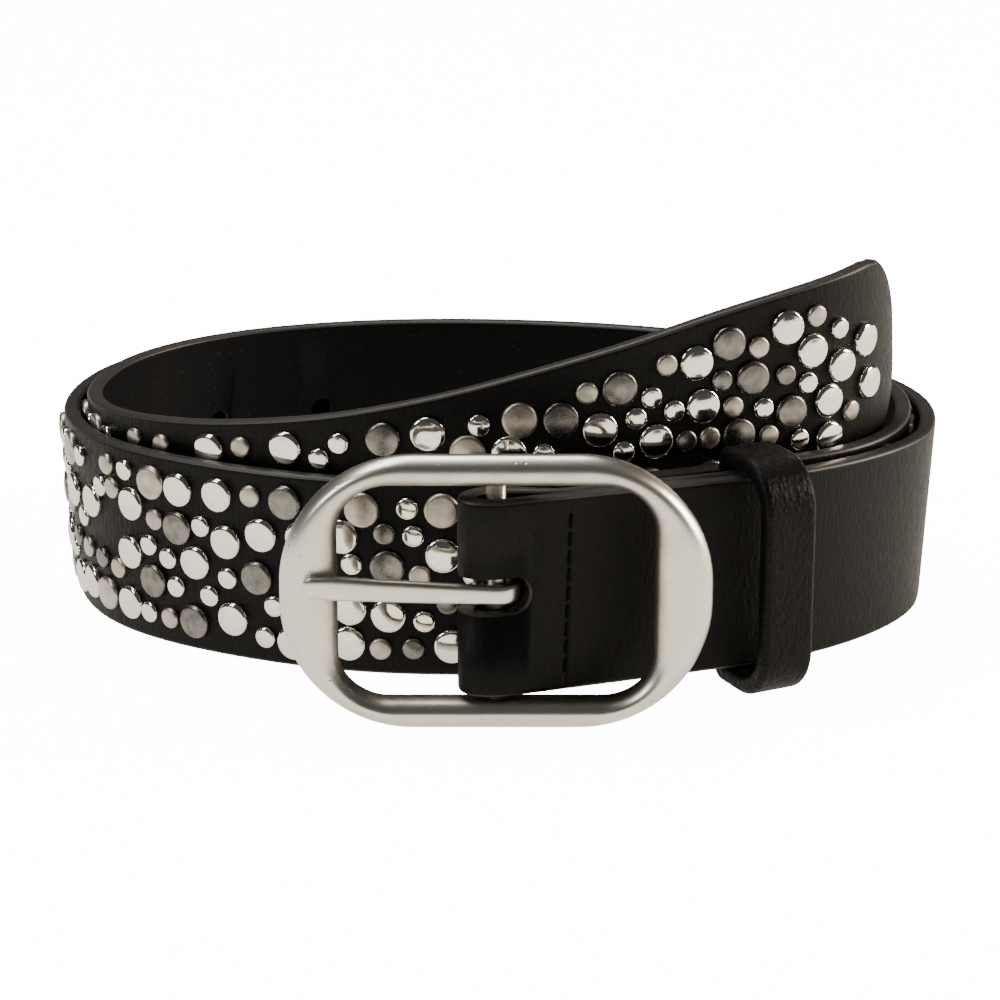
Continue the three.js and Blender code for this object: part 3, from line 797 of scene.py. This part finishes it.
def make_prong():
    bend_radius = BAR_RADIUS + TURNING_GAP + PRONG_THICK / 2
    reach = OPEN_WIDTH / 2 + PRONG_OVER
    crest = (OPEN_WIDTH + FRAME_WIDTH) / 4
    rest = BAR.y - (FRAME_FRONT - SEAT_GAP - PRONG_THICK * 0.6)
    lean = math.atan2(rest - bend_radius, crest)
    start, end = math.radians(200), math.radians(-90) + lean
    path = []
    for i in range(29):
        a = mix(start, end, i / 28)
        place, ahead = Vector((math.cos(a), math.sin(a))) * bend_radius, Vector((math.sin(a), -math.cos(a)))
        path.append((place, ahead, 1, 1, 0))
    foot, along = path[-1][0], path[-1][1]
    shank = [(0, 1, 1), (0.15, 1, 1), (0.55, 1.12, 1.08), (0.85, PRONG_WIDTH / PRONG_NECK, 1),
             (0.96, 1.05, 0.85), (0.985, 0.86, 0.7), (1, 0.55, 0.45)]
    for (s0, w0, t0), (s1, w1, t1) in zip(shank, shank[1:]):
        for i in range(1, 7):
            share = i / 6
            path.append((foot + along * (reach * mix(s0, s1, share)), along, mix(w0, w1, smooth(share)),
                         mix(t0, t1, smooth(share)), PRONG_LIFT * mix(s0, s1, share)))
    rings, shades = [], []
    sides = 28
    level = FRAME_HEIGHT / 2 + PRONG_HIGH
    for point, ahead, wide, thick, rise in path:
        ring = []
        for i in range(sides):
            a = 2 * math.pi * i / sides
            c, s = math.cos(a), math.sin(a)
            u = math.copysign(abs(c) ** 0.62, c)
            v = math.copysign(abs(s) ** 0.62, s)
            p = point - left_of(ahead) * (u * PRONG_THICK * thick / 2)
            ring.append(Vector((p.x + BAR.x, p.y + BAR.y, level + rise + v * PRONG_NECK * wide / 2)))
            # Darker towards the prong's top and bottom edges.
            shades.append(0.02 + 0.3 * abs(v) ** 6)
        rings.append(ring)
    obj = grid("prong_detail", rings, [NICKEL], closed=False, caps=True)
    set_shade(obj, shades)
    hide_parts("prong")
    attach(obj, "prong_body")


def make_keeper():
    """A loop with soft turned edges: its outline across the strap, swept through a band profile."""
    middle = OUTER_START + KEEPER_FROM + KEEPER_BAND / 2
    point, along = place_at(ROUTE, middle)
    out = -left_of(along)
    base = value("height", middle)
    back = -(STRAP_THICK + TURNING_GAP + SKIVED_THICK) - KEEPER_SLACK
    low, high, steps = -KEEPER_BELOW, STRAP_WIDTH + KEEPER_ABOVE, 14
    outer = rounded_box(back - KEEPER_BACK, KEEPER_BULGE, low - KEEPER_THICK, high + KEEPER_THICK,
                        KEEPER_FRONT_CORNER, KEEPER_BACK_CORNER, steps)
    inner = rounded_box(back, KEEPER_BULGE - KEEPER_THICK, low, high,
                        KEEPER_FRONT_CORNER - KEEPER_THICK, KEEPER_BACK_CORNER - KEEPER_BACK, steps)
    path = []
    for i, (p, q) in enumerate(zip(outer, inner)):
        p2, q2 = outer[(i + 1) % len(outer)], inner[(i + 1) % len(inner)]
        pieces = max(1, round((p2 - p).length / 1.5))
        path += [(p.lerp(p2, k / pieces), q.lerp(q2, k / pieces)) for k in range(pieces)]
    half, soft, arc = KEEPER_BAND / 2, 0.36, 7
    wall = []
    for side, start in ((-1, 180), (1, 270), (1, 0), (-1, 90)):
        depth_middle = soft if start in (180, 270) else 1 - soft
        for i in range(arc + 1):
            a = math.radians(start + 90 * i / arc)
            wall.append((side * half - side * 1.2 + 1.2 * math.cos(a), depth_middle + soft * math.sin(a)))
    profile_points = []
    for i, p in enumerate(wall):
        q = wall[(i + 1) % len(wall)]
        pieces = max(1, round(abs(q[0] - p[0]) / 1.0))
        profile_points += [(mix(p[0], q[0], k / pieces), mix(p[1], q[1], k / pieces)) for k in range(pieces)]
    rings, runs, run = [], [], 0.0
    for i, (p, q) in enumerate(path):
        if i:
            run += (p - path[i - 1][0]).length
        runs.append(run)
        ring = []
        for band, depth in profile_points:
            r = p.lerp(q, depth)
            place = point + out * r.x + along * band
            ring.append(Vector((place.x, place.y, base + r.y)))
        rings.append(ring)
    count = len(profile_points)

    def uv_of(i, k):
        run_to = runs[i] if i < len(runs) else runs[-1] + 1.5
        band, depth = profile_points[k % count]
        return (band + depth * KEEPER_THICK) * MM, run_to * MM

    obj = grid("keeper_detail", rings, [KEEPER_LEATHER], None, uv_of)
    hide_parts("keeper")
    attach(obj, "strap_body")


def make_stitches():
    """Black stitches in the sunk seam by the fold."""
    stitch, pitch, thread = 2.6, 3.4, 0.32
    sides = 10
    bm_vertices, bm_faces = [], []
    count = 9
    s = OUTER_START + SEAM_AT
    for i in range(count):
        across = STRAP_WIDTH / 2 + (i - (count - 1) / 2) * pitch
        rings = []
        for share in (-1, -0.8, -0.4, 0, 0.4, 0.8, 1):
            sunk = SEAM_DEEP - 0.12 - 0.1 * (1 - share * share)
            base = strap_point(s, across + share * stitch / 2, sunk)
            out = (strap_point(s, across, -1) - strap_point(s, across, 0)).normalized()
            side = out.cross(Vector((0, 0, 1)))
            r = thread * (0.55 if abs(share) == 1 else 1)
            rings.append([base + (side * math.cos(a) + out * math.sin(a)) * r
                          for a in (2 * math.pi * k / sides for k in range(sides))])
        first = len(bm_vertices)
        bm_vertices += [to_row_frame(p) for ring in rings for p in ring]
        for j in range(len(rings) - 1):
            for k in range(sides):
                m = (k + 1) % sides
                bm_faces.append((first + j * sides + k, first + j * sides + m,
                                 first + (j + 1) * sides + m, first + (j + 1) * sides + k))
        bm_faces.append(tuple(first + k for k in range(sides)))
        bm_faces.append(tuple(first + (len(rings) - 1) * sides + k for k in range(sides)))
    mesh = bpy.data.meshes.new("stitches")
    mesh.from_pydata(bm_vertices, [], bm_faces)
    mesh.materials.append(THREAD)
    obj = shown("stitches", mesh)
    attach(obj, "strap_body")


strap = make_strap()
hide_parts("strap", "buckle_end")
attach(strap, "strap_body")
make_stitches()
make_studs()
make_frame()
make_prong()
make_keeper()


# Stage: pale floor, soft boxes and camera
AIM = (Vector((-0.7 + BAR.x - 0.8, 71.2 + BAR.y, 19)) + SHIFT) * MM
AIM.x = HINGE[0] + 0.7 * MM
AIM.y = HINGE[1] + 71.2 * MM


def soft_box(name, at, size, power, color):
    light = bpy.data.lights.new(name, "AREA")
    light.shape, light.size, light.size_y = "RECTANGLE", size[0], size[1]
    light.energy, light.color = power, color
    obj = bpy.data.objects.new(name, light)
    obj.location = Vector(at) + AIM
    obj.rotation_euler = (AIM - obj.location).to_track_quat("-Z", "Y").to_euler()
    bpy.context.scene.collection.objects.link(obj)


def floor(name, color, glow, shown_to_camera):
    """A level sheet of the set. One is the white ground, the other what the belt mirrors."""
    near, far, side, under = -1.6, 6.0, 4.0, -0.0002
    mesh = bpy.data.meshes.new(name)
    mesh.from_pydata([(-side, near, under), (side, near, under), (side, far, under), (-side, far, under)],
                     [], [(0, 1, 2, 3)])
    m = Nodes(name)
    m.put("Base Color", (*color, 1))
    m.put("Roughness", 0.9)
    m.put("Specular IOR Level", 0.0)
    m.put("Emission Color", (*color, 1))
    m.put("Emission Strength", glow)
    mesh.materials.append(m.material)
    obj = bpy.data.objects.new(name, mesh)
    bpy.context.scene.collection.objects.link(obj)
    obj.visible_camera = shown_to_camera
    obj.visible_glossy = obj.visible_diffuse = not shown_to_camera
    obj.visible_shadow = False


def make_stage():
    floor("white_ground", (1, 1, 1), 14.0, True)
    floor("warm_table", (0.8, 0.765, 0.69), 1.05, False)
    world = bpy.data.worlds.new("studio")
    world.use_nodes = True
    world.node_tree.nodes["Background"].inputs["Color"].default_value = (1, 1, 1, 1)
    world.node_tree.nodes["Background"].inputs["Strength"].default_value = 0.06
    bpy.context.scene.world = world
    soft_box("above", (-0.3, 0.3, 1.2), (1.0, 0.4), 12, (1, 0.97, 0.93))
    soft_box("right", (1.3, 0.1, 0.45), (0.4, 0.7), 24, (1, 0.88, 0.75))
    soft_box("left", (-1.2, -0.6, 0.9), (0.4, 0.6), 8, (1, 0.98, 0.95))


def make_camera():
    camera = bpy.data.cameras.new("camera")
    camera.lens, camera.sensor_width = 110.3, 36
    obj = bpy.data.objects.new("camera", camera)
    elevation = math.radians(18)
    obj.location = AIM + Vector((0, -math.cos(elevation), math.sin(elevation))) * 0.62
    obj.rotation_euler = (math.radians(90) - elevation, 0, 0)
    camera.clip_start, camera.clip_end = 0.01, 50
    bpy.context.scene.collection.objects.link(obj)
    bpy.context.scene.camera = obj


make_stage()
make_camera()
